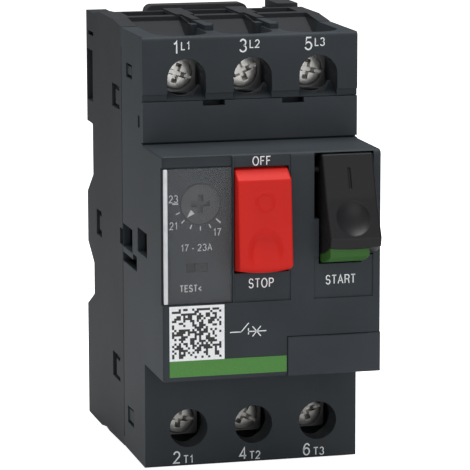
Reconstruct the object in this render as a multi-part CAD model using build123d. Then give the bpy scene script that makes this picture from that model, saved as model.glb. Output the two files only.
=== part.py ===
from build123d import *
import os
import math

# Three-pole motor protection breaker. Sizes are in millimetres.
# X runs across the poles, -Y is the front and +Z is up. The origin is on the
# rail seat, halfway across the width and level with the rail's centre line.

# ---- overall sizes ----------------------------------------------------------
pole_count = 3
pole_pitch = 13.8
side_margin = 1.8
pole_shift = 0.45          # the row of poles stands a little right of centre
height = 89.0              # front face of the terminal tiers
block_depth = 51.4         # rail seat to the front of the terminal tiers
nose_depth = 68.7          # rail seat to the front of the nose
nose_height = 45.5
seam_depth = 30.6          # rail seat to the joint between base and housing
wall = 1.6
front_wall = 2.0
rear_wall = 3.0

# ---- marks in the side walls: front y, rear y, low z, high z --------------------
side_mark_depth = 1.0
side_pocket = 2.5
panel_sink = 0.3
snap_slots = ((-28.6, -21.2, 27.0, 31.9), (-27.0, -19.5, -31.6, -26.2))
framed_recesses = ((-41.3, -35.6, 34.8, 37.8), (-40.3, -34.5, -38.6, -34.9))
rear_recess = (-8.8, -3.4, -3.5, 2.1)

# ---- rail seat and rear ------------------------------------------------------
rail_height = 35.0
rail_play = 2.35           # the rail can rise this far before it unhooks below
upper_rear = 6.0           # how far the rear stands behind the rail seat
lower_rear = 7.5
rail_bump = 6.5            # the middle of the rear reaches into the rail
top_flare = 0.9            # the base is a little taller than the housing
bottom_flare = 1.3
hook_gap = 1.3             # room for the rail's lip behind the seat
hook_thick = 2.0
hook_reach = 2.4
hook_width = 7.0

# ---- terminals ---------------------------------------------------------------
upper_screw_drop = 8.55      # screw axis below the top edge
lower_screw_drop = 8.0
screw_head_r = 3.4
driver_clearance = 0.6
recess_long = 2.1          # half the length and half the width of the cross recess
recess_short = 0.55
recess_depth = 1.5
screw_head_y = -42.0
screw_head_thick = 2.4
screw_shank_r = 1.95
screw_shank = 12.6
tapping_clearance = 0.06
clamp_thick = 1.4
clamp_half_width = 4.6
clamp_half_height = 4.1
wire_gap = 4.8             # open space between clamp plate and terminal plate
terminal_thick = 2.0
terminal_width = 9.4
chamber_width = 10.4
chamber_front = 45.8
funnel_radius = 5.7
funnel_neck_radius = 4.7
funnel_front_y = -44.3
funnel_neck_y = -41.6
funnel_back_y = -20.5
lower_funnel_back_y = -32.5  # the lower funnels are shorter, so no light shows through them
funnel_depth = 4.3
ramp_low_z = 31.5          # the entry ramp under each upper screw hole
ramp_high_z = 34.0
conductor_half = 3.6       # half width of the slots the conductors pass through

# ---- poles inside the base ----------------------------------------------------
pole_room = 12.2
pillar_r = 2.3
pillar_z = 26.0
strip_thick = 1.4
strip_width = 6.4
contact_z = 7.0
contact_pad_r = 2.0
contact_pad_thick = 0.8
fixed_strip_y = -7.6
contact_gap = 2.5
bend_z = 24.6              # where the line strip turns to the rear
bridge_thick = 1.0
bridge_width = 5.0
carrier_y = -23.0          # rear face of the carrier's cross bar
carrier_thick = 3.6
carrier_half_height = 4.6
carrier_half_width = 3.2
carrier_nose_half = 2.2
carrier_post_half = 1.6
carrier_neck_half = 0.9
deion_plates = 5
deion_thick = 0.8
deion_pitch = 1.9
deion_back_y = -18.6       # rear-most plate
deion_half_width = 5.4
deion_outer_z = 18.6
deion_notch_half = 1.2
deion_notch_depth = 2.5
coil_r = 4.1
coil_back = -13.5
coil_length = 9.0
coil_turns = 6
coil_groove = 0.5
coil_z = -26.0
plunger_r = 1.5
plunger_clearance = 0.35
plunger_back_y = -12.0
plunger_step_y = -24.5
plunger_tip_y = -27.5
plunger_tip_r = 0.8
carrier_nose_y = -32.5
trip_bar_y = -35.6
trip_bar_thick = 1.4
trip_bar_low_z = -15.4
trip_bar_high_z = -12.6
frame_left = -6.2
frame_right = 7.2
drive_y = -42.0
drive_z = 11.0
latch_y = -42.0
latch_z = -6.5
pin_r = 1.0
frame_plate = 1.0
frame_back = -36.0
frame_low_z = -11.0
frame_high_z = 16.0
bimetal_back = -36.6
bimetal_thick = 0.8
bimetal_width = 3.6
bimetal_top_z = -12.5
heater_bottom_z = -28.3
heater_length = 10.0
heater_turns = 5
assembly_screw_r = 1.25
assembly_head_r = 2.5
assembly_head_y = 0.6
assembly_head_thick = 2.0
assembly_tip_y = -43.0

# ---- nose --------------------------------------------------------------------
window_inset = 0.2
window_width = 14.1
window_height = 27.1
window_drop = 2.55         # top of the window below the top of the nose
window_thick = 0.7
window_sink = 0.1
deck_depth = 1.4           # how far the dial deck lies behind the nose's front
column_gap = 0.3
stop_opening = 11.3
stop_plate_width = 11.65
start_opening = 12.3
start_inset = 1.6
start_edge_gap = 0.3
button_play = 0.2
recess_step_z = 9.1        # the START opening is narrower below this
recess_step = 1.0
plate_recess = 0.25
plate_drop = 26.0          # lower edge of the button plates below the shaft
shaft_inset = 2.3          # shaft behind the nose's front
shaft_drop = 3.85          # shaft below the nose's top
shaft_r = 0.7
hub_wall = 0.55
running_clearance = 0.05
spring_play = 0.6
spring_wire = 0.4
spring_length = 2.8
skirt_clearance = 0.2
start_skirt_r = 18.8
start_skirt_thick = 1.5
stop_skirt_r = 19.7
stop_clearance = 0.45
start_width = 10.6
skirt_width = 8.9
skirt_side_play = 0.7
dial_r = 4.05
dial_clearance = 0.1
dial_x = 7.86              # from the window's left edge
dial_drop = 9.81           # dial centre below the top of the nose
dial_proud = 0.25
dial_thick = 3.0
dial_groove = 1.1
dial_groove_long = 1.9
dial_groove_half = 0.45
spindle_r = 2.0
spindle_length = 6.05
test_slot_x = -3.0         # left end of the test slot, from the dial's centre
test_slot_width = 4.4
test_slot_half = 0.9
test_z = 0.1
cover_thick = 1.3
cover_gap = 0.4            # blanking cover above the nose
cover_height = 8.2
cover_notches = (-7.7, 8.9)
cover_notch_half = 2.3
strip_height = 1.4         # recessed strip over the blanking cover
corner_cover_left = 3.1
corner_cover_height = 8.05
corner_cover_proud = 0.25
trim_gap = 0.1
label_left = 1.3           # from the nose's left edge
label_patch_width = 11.3
label_band_width = 24.1
label_bottom = 1.05        # from the nose's lower edge
label_band_height = 3.3
label_patch_height = 11.1
label_thick = 0.1

# ---- rail clip ---------------------------------------------------------------
clip_left = -10.0
clip_right = 12.7
clip_bottom_z = 15.7
clip_top_z = 45.6
clip_thick = 4.0
clip_clearance = 0.2
clip_flange = 1.0
clip_seat_y = 1.4
clip_flange_thick = 1.2
clip_flange_low = 24.0
clip_flange_high = 42.0
clip_slot_half = 2.1
clip_stop_z = 34.6         # the spring pushes against this stop of the base
clip_stop_height = 2.0
clip_spring_z = 22.5
clip_spring_r = 1.3
clip_spring_wire = 0.5

# ---- worked out from the sizes above -------------------------------------------
width = pole_count * pole_pitch + 2 * side_margin
left = -width / 2
right = width / 2
top = height / 2
nose_top = nose_height / 2
upper_screw_z = top - upper_screw_drop
lower_screw_z = -top + lower_screw_drop
screw_hole_r = screw_head_r + driver_clearance
rail_half = rail_height / 2
pole_x = [pole_shift + (index - 1) * pole_pitch for index in range(pole_count)]
between_x = [(pole_x[0] + pole_x[1]) / 2, (pole_x[1] + pole_x[2]) / 2]
clamp_y = screw_head_y + screw_head_thick
terminal_y = clamp_y + clamp_thick + wire_gap
neck_z = top - funnel_depth
pocket_end_z = neck_z - 1.3
pad_face_y = fixed_strip_y - contact_pad_thick
bridge_y = pad_face_y - contact_gap - contact_pad_thick - bridge_thick
window_left = left + window_inset
window_right = window_left + window_width
stop_left = window_right + column_gap
stop_right = stop_left + stop_opening
start_right = right - start_inset
start_left = start_right - start_opening
start_button_right = start_right - start_edge_gap
start_button_left = start_button_right - start_width
window_top_z = nose_top - window_drop
window_bottom_z = window_top_z - window_height
deck_y = -nose_depth + deck_depth
cavity_front_y = -nose_depth + front_wall
dial_centre_x = window_left + dial_x
dial_z = nose_top - dial_drop
dial_front_y = deck_y - dial_proud
shaft_y = -nose_depth + shaft_inset
shaft_z = nose_top - shaft_drop
hub_r = shaft_r + hub_wall
spring_r = shaft_r + spring_play
plate_bottom_z = shaft_z - plate_drop
cover_bottom_z = nose_top + cover_gap
cover_top_z = cover_bottom_z + cover_height
lever_front_y = shaft_y + 13.9
side_walls = ((left - 1, left + side_mark_depth), (right - side_mark_depth, right + 1))
bay_top_z = cover_top_z - 1.75


# ---- shapes -------------------------------------------------------------------
def block(x0, x1, y0, y1, z0, z1):
    """A box between two corners."""
    middle = Pos((x0 + x1) / 2, (y0 + y1) / 2, (z0 + z1) / 2)
    return middle * Box(abs(x1 - x0), abs(y1 - y0), abs(z1 - z0))


def rod_x(x0, x1, y, z, radius):
    """A round rod along X."""
    return Pos((x0 + x1) / 2, y, z) * Rot(0, 90, 0) * Cylinder(radius, abs(x1 - x0))


def rod_y(x, y0, y1, z, radius):
    """A round rod along Y."""
    return Pos(x, (y0 + y1) / 2, z) * Rot(90, 0, 0) * Cylinder(radius, abs(y1 - y0))


def side_profile(points, x0, x1):
    """A (y, z) outline drawn from x0 to x1."""
    face = Plane.YZ.offset(x0) * make_face(Polyline(*points, close=True))
    return extrude(face, amount=x1 - x0, dir=(1, 0, 0))


def coil_spring(radius, wire, length, turns):
    """A helical spring along +Z from the origin."""
    path = Helix(pitch=length / turns, height=length, radius=radius)
    section = Plane(path @ 0, z_dir=path % 0) * Circle(wire / 2)
    return sweep(section, path=path)


def funnel_outline(centre_x, radius, front_y, back_y, z):
    """Round-fronted outline of a wire funnel at one height."""
    face = Circle(radius) + Pos(0, (back_y - front_y) / 2) * Rectangle(2 * radius, back_y - front_y)
    return Pos(centre_x, front_y, z) * face


def wire_funnel(centre_x, side):
    """The tapering space that guides a wire from the top or bottom edge to its clamp."""
    back_y = funnel_back_y if side > 0 else lower_funnel_back_y
    mouth = funnel_outline(centre_x, funnel_radius, funnel_front_y, back_y, side * (top + 2.0))
    edge = funnel_outline(centre_x, funnel_radius, funnel_front_y, back_y, side * top)
    neck_back = terminal_y - 0.2
    neck = funnel_outline(centre_x, funnel_neck_radius, funnel_neck_y, neck_back, side * neck_z)
    return loft([neck, edge]) + loft([edge, mouth])


def terminal_chamber(centre_x, side, screw_z):
    """The room for the clamp plate, and the hole that the screwdriver goes in by."""
    half = chamber_width / 2
    inner_z = screw_z - side * (clamp_half_height + 0.5)
    outer_z = side * max(neck_z + 0.2, abs(screw_z) + clamp_half_height + 0.3)
    room = block(centre_x - half, centre_x + half, -chamber_front, -seam_depth + 1, inner_z, outer_z)
    hole = rod_y(centre_x, -block_depth - 1, -chamber_front + 1, screw_z, screw_hole_r)
    return room + hole


# ---- shells -------------------------------------------------------------------
def rear_base():
    outline = [
        (-seam_depth, -top - 0.1), (-14.9, -top - 0.6), (-11.6, -top - 0.4),
        (-6.7, -top - bottom_flare + 0.1), (lower_rear, -top - bottom_flare),
        (lower_rear, -rail_half - 3.55), (0, -rail_half - 0.05),
        (0, -10.55), (rail_bump, -6.75), (rail_bump, 4.45), (0, 9.05),
        (0, rail_half + rail_play), (0.4, rail_half + rail_play + 0.4),
        (upper_rear, rail_half + rail_play + 0.4), (upper_rear, top - 0.3), (-3.0, top + 0.2),
        (-8.0, top + top_flare), (-22.0, top + top_flare), (-seam_depth, top + 0.1),
    ]
    shell = side_profile(outline, left, right)
    for x in pole_x:
        x0 = x - pole_room / 2
        x1 = x + pole_room / 2
        shell -= block(x0, x1, -seam_depth - 1, -rear_wall, -rail_half - 4, rail_half + 4)
        shell -= block(x0, x1, -seam_depth - 1, -2.0, rail_half + 3, pocket_end_z)
        shell -= block(x0, x1, -seam_depth - 1, lower_rear - 2.5, -pocket_end_z, -rail_half - 6.5)
        shell -= block(x0, x1, -seam_depth - 1, -rear_wall, -rail_half - 7, -rail_half - 3)
        shell -= wire_funnel(x, 1)
        shell -= wire_funnel(x, -1)
        shell -= block(x - 4.8, x + 4.8, -17.5, -9.5, top - 1.6, top + 2)
    slot_z = carrier_half_height + 0.6
    shell -= block(pole_x[0], pole_x[-1], -seam_depth - 1, carrier_y + 3.0, -slot_z, slot_z)
    # stepped top: the rear rim is higher at its corners and lower between them
    shell -= block(left + 5.2, right - 5.2, -6.0, upper_rear + 1, top - 0.9, top + 2)
    shell += block(left, left + 4.4, -9.5, upper_rear, top - 2.0, top + 0.1)
    shell += block(right - 4.6, right, -4.8, upper_rear, top - 2.0, top + 1.4)
    shell -= block(right - 6.0, right + 1, -7.6, -4.8, top - 1.4, top + 3)
    for x in between_x:
        shell += block(x - 2.0, x + 2.0, -20.5, -7.5, top - 2, top + 1.3)
        shell += block(x - 0.9, x + 0.9, -seam_depth, -20.5, top - 3, top + 1.3)
        shell += rod_y(x, -seam_depth, -2.2, pillar_z, pillar_r)
        shell += rod_y(x, -seam_depth, lower_rear - 2.5, -pillar_z, pillar_r)
        for z in (pillar_z, -pillar_z):
            shell -= rod_y(x, -seam_depth - 1, 2.0, z, assembly_screw_r + 0.15)
            shell -= rod_y(x, assembly_head_y - assembly_head_thick, lower_rear + 1, z, assembly_head_r + 0.3)
    # channel of the rail clip
    channel_left = clip_left - clip_clearance
    channel_right = clip_right + clip_clearance
    floor_y = clip_seat_y - clip_clearance
    flange_y = clip_seat_y + clip_flange_thick + clip_clearance
    shell -= block(channel_left, channel_right, floor_y, upper_rear + 1,
                   clip_bottom_z - clip_clearance, top + 3)
    shell -= block(channel_left - clip_flange, channel_right + clip_flange, floor_y, flange_y,
                   clip_bottom_z, top + 3)
    stop_x = (clip_left + clip_right) / 2
    stop_half = clip_slot_half - 0.3
    shell += block(stop_x - stop_half, stop_x + stop_half, floor_y - 0.5, upper_rear - 1.2,
                   clip_stop_z, clip_stop_z + clip_stop_height)
    # fixed hooks under the rail's lower lip
    hook_base_z = -rail_half - 4.0
    for x in (left + 6.0, right - 6.0 - hook_width):
        hook = block(x, x + hook_width, hook_gap, hook_gap + hook_thick, hook_base_z, -rail_half + hook_reach)
        shell += hook
    # snap slots, pockets and grooves in the two side walls
    for x0, x1 in side_walls:
        for y0, y1, z0, z1 in snap_slots:
            shell -= block(x0, x1, y0, y1, z0, z1)
            shell += block(max(x0, left), min(x1, right), y0, y0 + 3.7, z0 + 0.95, z1 - 0.95)
        y0, y1, z0, z1 = rear_recess
        shell -= block(x0, x1, y0, y1, z0, z1)
        shell += block(max(x0, left + panel_sink), min(x1, right - panel_sink),
                       y0, y1 - 1.8, z0 + 1.2, z1 - 1.2)
        shell -= block(x0, x1, -1.6, 4.0, 39.5, 40.4)
        shell -= block(x0, x1, -30.7, -28.0, -1.4, 2.05)
    for x0, x1 in ((left - 1, left + side_pocket), (right - side_pocket, right + 1)):
        shell -= block(x0, x1, -0.6, upper_rear - 0.6, 25.1, 36.3)
    return shell


def nose_cuts():
    """Everything that is cut into the nose's front face."""
    front = -nose_depth - 1
    inner_y = cavity_front_y + 1
    opening_top = nose_top - 0.35
    cuts = block(left - 1, window_right, front, deck_y, window_bottom_z - 0.2, window_top_z + 0.3)
    cuts += block(window_left, window_right, front, deck_y - 0.8, window_top_z, nose_top - 0.25)
    cuts += rod_y(dial_centre_x, front, inner_y, dial_z, dial_r + dial_clearance)
    slot_x = dial_centre_x + test_slot_x
    cuts += block(slot_x, slot_x + test_slot_width, front, inner_y, test_z - test_slot_half,
                  test_z + test_slot_half)
    plate_y = -nose_depth + plate_recess
    stop_low_z = shaft_z - stop_skirt_r - stop_clearance
    stop_high_z = shaft_z + hub_r
    cuts += block(stop_left, stop_left + stop_plate_width, front, plate_y, plate_bottom_z, nose_top - 0.2)
    cuts += block(stop_left, stop_right, front, inner_y, stop_low_z, stop_high_z)
    skirt_low_z = shaft_z - start_skirt_r - skirt_clearance
    cap_low_z = skirt_low_z + start_skirt_thick
    inset = start_left + recess_step
    cuts += block(start_left, start_right, front, plate_y, plate_bottom_z, cap_low_z)
    cuts += block(inset, inset + skirt_width, front, inner_y, skirt_low_z, cap_low_z + 1)
    cuts += block(inset, start_right, front, inner_y, cap_low_z, opening_top)
    cuts += block(start_left, start_right, front, inner_y, recess_step_z, opening_top)
    cuts += block(start_left, start_right, front, inner_y + 1.5, shaft_z, opening_top)
    for x0, x1 in ((stop_left, stop_right), (start_left, start_right)):
        cuts += rod_x(x0, x1, shaft_y, shaft_z, hub_r + 0.35)
    cover_edge_z = -nose_top + corner_cover_height + 2 * trim_gap
    cuts += block(corner_cover_left - trim_gap, right + 1, front, -nose_depth + 1.0, -nose_top - 1,
                  cover_edge_z)
    return cuts


def front_housing():
    shell = block(left, right, -block_depth, -seam_depth, -top, top)
    shell += block(left, right, -nose_depth, -block_depth + 1, -nose_top, nose_top)
    front_edges = shell.edges().filter_by(Axis.X).sort_by(Axis.Y)[:2]
    shell = fillet(front_edges, 1.0)
    side_edges = shell.edges().filter_by(Axis.Z).sort_by(Axis.Y)[:2]
    shell = fillet(side_edges, 0.45)
    tier_edges = shell.edges().filter_by(Axis.X).filter_by_position(Axis.Z, top - 0.1, top + 0.1)
    shell = fillet(tier_edges.sort_by(Axis.Y)[:1], 0.8)
    foot_edges = shell.edges().filter_by(Axis.X).filter_by_position(Axis.Z, -top - 0.1, -top + 0.1)
    shell = fillet(foot_edges.sort_by(Axis.Y)[:1], 0.6)
    inner_top = nose_top - wall
    shell -= block(left + wall, right - wall, cavity_front_y, -seam_depth + 1, -inner_top, inner_top)
    bay_front = -block_depth + 3.4
    bay_edge = nose_top + wall - 0.2
    bay = block(left + wall, right - wall, bay_front, -seam_depth + 1, bay_edge, bay_top_z)
    bay += block(left + wall, right - wall, bay_front, -seam_depth + 1, -bay_top_z - 1.0, -bay_edge)
    for x in between_x:
        for z in (pillar_z, -pillar_z):
            bay -= rod_y(x, bay_front - 1, -seam_depth + 1, z, pillar_r)
    shell -= bay
    for x in between_x:
        for z in (pillar_z, -pillar_z):
            shell -= rod_y(x, assembly_tip_y - 1, -seam_depth + 1, z, assembly_screw_r + running_clearance)
    for x in pole_x:
        shell -= terminal_chamber(x, 1, upper_screw_z)
        shell -= terminal_chamber(x, -1, lower_screw_z)
        shell -= wire_funnel(x, 1)
        shell -= wire_funnel(x, -1)
        ramp = [(-block_depth - 1, ramp_low_z), (-block_depth + 0.5, ramp_low_z), (-chamber_front,
                                                                                   ramp_high_z),
                (-chamber_front, upper_screw_z), (-block_depth - 1, upper_screw_z)]
        shell -= side_profile(ramp, x - screw_hole_r, x + screw_hole_r)
        # the conductors pass from the terminal chambers into the bay behind the nose
        slot = (x - conductor_half, x + conductor_half)
        shell -= block(*slot, terminal_y - 0.3, -seam_depth + 1, bend_z - 0.2, 33.0)
        slot_y = bimetal_back - bimetal_width - 1.2
        shell -= block(*slot, slot_y, -seam_depth + 1, -33.0, -20.0)
    for x in between_x:
        shell += block(x - 0.9, x + 0.9, -42.0, -seam_depth, top - 3, top + 1.1)
        shell += block(x - 2.4, x + 2.4, -36.0, -33.0, top - 3, top + 0.7)
    # strip under the upper terminals and the bed of the blanking cover
    bed_y = -block_depth + cover_thick + trim_gap
    bed_top_z = cover_top_z + trim_gap
    shell -= block(left - 1, right + 1, -block_depth - 1, -block_depth + 0.5, bed_top_z,
                   bed_top_z + strip_height)
    shell -= block(left - 1, right + 1, -block_depth - 1, bed_y, nose_top, bed_top_z)
    for x in cover_notches:
        notch = (x - cover_notch_half, x + cover_notch_half)
        shell -= block(*notch, -block_depth - 1, bed_y + 2.6, bed_top_z - 1.45, bed_top_z)
    shell -= nose_cuts()
    # ribs that carry the button shaft
    for x0, x1 in ((stop_left - 1.5, stop_left), (stop_right, stop_right + 1.6),
                   (start_left - 1.6, start_left), (start_right, start_right + 0.6)):
        rib = block(x0, x1, cavity_front_y - 0.8, shaft_y + 2.2, shaft_z - 2.2, inner_top + 0.2)
        shell += rib
    shell -= rod_x(stop_left - 1.0, right - wall / 2, shaft_y, shaft_z, shaft_r + 0.02)
    # coupling windows and snap recesses in the side walls
    for x0, x1 in ((left - 1, left + wall + 0.5), (right - wall - 0.5, right + 1)):
        shell -= block(x0, x1, -40.4, -seam_depth - 0.5, -1.4, 3.5)
        shell -= block(x0, x1, -54.4, -45.5, 0.0, 5.0)
        shell -= block(x0, x1, -44.6, -40.8, -4.55, -1.4)
        shell -= block(x0, x1, -40.8, -seam_depth - 0.5, -4.55, -2.6)
    for x0, x1 in side_walls:
        for y0, y1, z0, z1 in framed_recesses:
            shell -= block(x0, x1, y0, y1, z0, z1)
            shell += block(max(x0, left + panel_sink), min(x1, right - panel_sink),
                           y0 + 1.6, y1, z0 + 0.6, z1 - 0.6)
        shell -= block(x0, x1, -48.3, -46.7, 25.8, 28.3)
        shell -= block(x0, x1, -seam_depth - 0.4, -seam_depth + 1, -top + 2, top - 4)
    return shell


def accessory_cover():
    y0 = -block_depth + trim_gap
    y1 = y0 + cover_thick - trim_gap
    plate = block(left, right, y0, y1, cover_bottom_z, cover_top_z)
    for x in cover_notches:
        plate -= block(x - cover_notch_half, x + cover_notch_half, y0 - 1, y1 + 1, cover_top_z - 1.05,
                       cover_top_z + 1)
    return plate


def corner_cover():
    y0 = -nose_depth - corner_cover_proud
    z0 = -nose_top + trim_gap
    plate = block(corner_cover_left, right, y0, y0 + 1.2, z0, z0 + corner_cover_height)
    edges = plate.edges().filter_by(Axis.X).sort_by(Axis.Y)[:2]
    edges += plate.edges().filter_by(Axis.Z).sort_by(Axis.Y)[:2]
    return fillet(edges, 0.3)


def front_label():
    x0 = left + label_left
    y0 = -nose_depth - label_thick
    z0 = -nose_top + label_bottom
    z1 = z0 + label_band_height
    patch = block(x0, x0 + label_patch_width, y0, -nose_depth, z1, z1 + label_patch_height)
    band = block(x0, x0 + label_band_width, y0, -nose_depth, z0, z1)
    return patch + band


# ---- buttons, dial and window ---------------------------------------------------
def about_shaft(x0, x1, radius):
    return rod_x(x0, x1, shaft_y, shaft_z, radius)


def from_shaft(points, x0, x1):
    """A (y, z) outline measured from the shaft's centre, drawn from x0 to x1."""
    return side_profile([(shaft_y + y, shaft_z + z) for y, z in points], x0, x1)


def start_parts():
    """The black cap and the green skirt under it, both around the shaft."""
    x0 = start_button_left
    x1 = start_button_right
    cap_outline = [(-1.8, 3.4), (-2.9, 3.16), (-5.9, -5.4), (-9.6, -12.84), (-9.3, -14.3), (-9.3, -20.9),
                   (1.2, -20.9), (1.2, -1.5), (0.5, 1.2), (-1.0, 1.7)]
    wedge = from_shaft(cap_outline, x0, x1)
    cap = wedge & about_shaft(x0, x1, start_skirt_r - start_skirt_thick)
    cap += about_shaft(x0, x1, hub_r)
    cap -= about_shaft(x0 - 1, x1 + 1, shaft_r + running_clearance)
    spring_room = spring_length / 2 + spring_wire / 2 + 0.2
    middle = (x0 + x1) / 2
    cap -= about_shaft(middle - spring_room, middle + spring_room, spring_r + spring_wire / 2 + 0.2)
    skirt_outline = [(-9.2, -13.9), (-9.2, -20.9), (7.4, -20.9), (7.4, -13.9)]
    skirt = from_shaft(skirt_outline, x0, x0 + skirt_width - skirt_side_play) & about_shaft(x0, x1,
                                                                                            start_skirt_r)
    skirt -= about_shaft(x0, x1, start_skirt_r - start_skirt_thick)
    return cap, skirt


def stop_button():
    x0 = stop_left + button_play
    x1 = stop_right - button_play + 0.1
    outline = [(-1.6, 0.8), (-4.7, -1.2), (-6.2, -18.6), (-6.2, -21.9), (4.4, -21.9), (4.4, -17.3),
               (1.2, -17.3), (1.2, -1.5), (0.5, 1.1), (-0.4, 1.2)]
    body = from_shaft(outline, x0, x1) & about_shaft(x0, x1, stop_skirt_r)
    body += about_shaft(x0, x1, hub_r)
    body -= about_shaft(x0 - 1, x1 + 1, shaft_r + running_clearance)
    return body


def button_shaft():
    return rod_x(stop_left - 0.9, right - wall / 2 - 0.1, shaft_y, shaft_z, shaft_r)


def button_spring():
    """The coil of the leg spring that pushes the START button out."""
    x = (start_button_left + start_button_right) / 2
    spring = coil_spring(spring_r, spring_wire, spring_length, 5)
    return Pos(x - spring_length / 2, shaft_y, shaft_z) * Rot(0, 90, 0) * spring


def setting_dial():
    back_y = dial_front_y + dial_thick
    dial = rod_y(dial_centre_x, dial_front_y, back_y, dial_z, dial_r)
    dial += rod_y(dial_centre_x, back_y, back_y + spindle_length, dial_z, spindle_r)
    for half_x, half_z in ((dial_groove_long, dial_groove_half), (dial_groove_half, dial_groove_long)):
        dial -= block(dial_centre_x - half_x, dial_centre_x + half_x, dial_front_y - 1,
                      dial_front_y + dial_groove,
                      dial_z - half_z, dial_z + half_z)
    return dial


def test_slider():
    x0 = dial_centre_x + test_slot_x
    x1 = x0 + test_slot_width - 0.1
    back_y = cavity_front_y + 4.7
    stem_half = test_slot_half - 0.1
    foot_half = test_slot_half + 1.4
    stem = block(x1 - 2.2, x1, deck_y - 0.1, back_y, test_z - stem_half, test_z + stem_half)
    foot = block(x0 + 0.5, x1 + 1.3, cavity_front_y + 0.8, back_y, test_z - foot_half, test_z + foot_half)
    return stem + foot


def dial_window():
    x0 = window_left + 0.05
    x1 = window_right - 0.1
    y0 = -nose_depth + window_sink
    pane = block(x0, x1, y0, y0 + window_thick, window_bottom_z, window_top_z)
    return fillet(pane.edges().filter_by(Axis.Y).sort_by(Axis.X)[2:], 0.6)


# ---- rail clip ------------------------------------------------------------------
def din_clip():
    y0 = clip_seat_y
    y1 = clip_seat_y + clip_thick
    plate = block(clip_left, clip_right, y0, y1, clip_bottom_z, clip_top_z)
    upright = plate.edges().filter_by(Axis.Y)
    plate = fillet(upright.sort_by(Axis.Z)[-2:], 1.6)
    flange = clip_flange - clip_clearance
    plate += block(clip_left - flange, clip_right + flange, y0, y0 + clip_flange_thick,
                   clip_flange_low, clip_flange_high)
    cross = plate.edges().filter_by(Axis.X).sort_by(Axis.Z)[:2]
    plate = chamfer(cross.sort_by(Axis.Y)[-1:], 1.6)
    middle = (clip_left + clip_right) / 2
    half = clip_slot_half
    stop_top_z = clip_stop_z + clip_stop_height
    plate -= block(middle - half, middle + half, y0 - 1, y1 + 1, clip_spring_z - 0.5, stop_top_z + 3.0)
    plate -= block(clip_left + 3, clip_right - 3, y1 - 0.8, y1 + 1, clip_top_z - 4.2, clip_top_z - 2.6)
    return plate


def din_clip_spring():
    middle = (clip_left + clip_right) / 2
    length = clip_stop_z - clip_spring_z - 0.5
    spring = coil_spring(clip_spring_r, clip_spring_wire, length, 9)
    return Pos(middle, clip_seat_y + clip_thick / 2, clip_spring_z) * spring


# ---- terminals --------------------------------------------------------------------
def terminal_screw(x, z):
    head = rod_y(x, screw_head_y, clamp_y, z, screw_head_r)
    rim = head.edges().filter_by(GeomType.CIRCLE).sort_by(Axis.Y)[:1]
    head = fillet(rim, 0.5)
    shank = rod_y(x, clamp_y, clamp_y + screw_shank, z, screw_shank_r)
    screw = head + shank
    recess_y = screw_head_y + recess_depth
    for half_x, half_z in ((recess_short, recess_long), (recess_long, recess_short)):
        screw -= block(x - half_x, x + half_x, screw_head_y - 1, recess_y, z - half_z, z + half_z)
    return screw


def clamp_plate(x, z):
    plate = block(x - clamp_half_width, x + clamp_half_width, clamp_y, clamp_y + clamp_thick,
                  z - clamp_half_height, z + clamp_half_height)
    plate = fillet(plate.edges().filter_by(Axis.Y), 0.8)
    return plate - rod_y(x, clamp_y - 1, clamp_y + clamp_thick + 1, z, screw_shank_r + tapping_clearance)


def tapped_plate(x, z, inner_z):
    """Terminal plate with its tapped hole, from the screw in to inner_z."""
    half = terminal_width / 2
    outer_z = z + math.copysign(clamp_half_height, z)
    plate = block(x - half, x + half, terminal_y, terminal_y + terminal_thick, inner_z, outer_z)
    return plate - rod_y(x, terminal_y - 1, terminal_y + terminal_thick + 1, z,
                         screw_shank_r + tapping_clearance)


def line_terminal(x):
    half = strip_width / 2
    back = fixed_strip_y + strip_thick
    strip = tapped_plate(x, upper_screw_z, upper_screw_z - clamp_half_height)
    strip += block(x - half, x + half, terminal_y, terminal_y + terminal_thick, bend_z, upper_screw_z - 4)
    strip += block(x - half, x + half, terminal_y, back, bend_z, bend_z + strip_thick)
    strip += block(x - half, x + half, fixed_strip_y, back, contact_z - 2.6, bend_z + strip_thick)
    return strip + rod_y(x, pad_face_y, fixed_strip_y, contact_z, contact_pad_r)


def load_contact(x):
    half = strip_width / 2
    back = fixed_strip_y + strip_thick
    coil_front = coil_back - coil_length
    turn_pitch = coil_length / coil_turns
    lead_z = coil_z - coil_r
    part = block(x - half, x + half, fixed_strip_y, back, coil_z, -contact_z + 2.6)
    part += rod_y(x, pad_face_y, fixed_strip_y, -contact_z, contact_pad_r)
    part += block(x - 1.2, x + 1.2, coil_back - 1, fixed_strip_y, coil_z + 2.6, coil_z + 3.8)
    winding = rod_y(x, coil_front, coil_back, coil_z, coil_r)
    for turn in range(coil_turns):
        y = coil_front + (turn + 0.5) * turn_pitch
        core = rod_y(x, y - 1, y + 1, coil_z, coil_r - coil_groove)
        winding -= rod_y(x, y - 0.15, y + 0.15, coil_z, coil_r + 1) - core
    part += winding
    part -= rod_y(x, coil_front - 1, coil_back + 1, coil_z, plunger_r + plunger_clearance)
    part += block(x - 1.0, x + 1.0, bimetal_back, coil_front + 1.2, lead_z, lead_z + 1.2)
    return part


def trip_plunger(x):
    body = rod_y(x, plunger_step_y, plunger_back_y, coil_z, plunger_r)
    return body + rod_y(x, plunger_tip_y, plunger_step_y, coil_z, plunger_tip_r)


def load_terminal(x):
    half = strip_width / 2
    foot_z = lower_screw_z + clamp_half_height
    plate = tapped_plate(x, lower_screw_z, foot_z)
    foot = block(x - half, x + half, bimetal_back, terminal_y + terminal_thick, foot_z, foot_z + 1.2)
    return plate + foot


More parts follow.
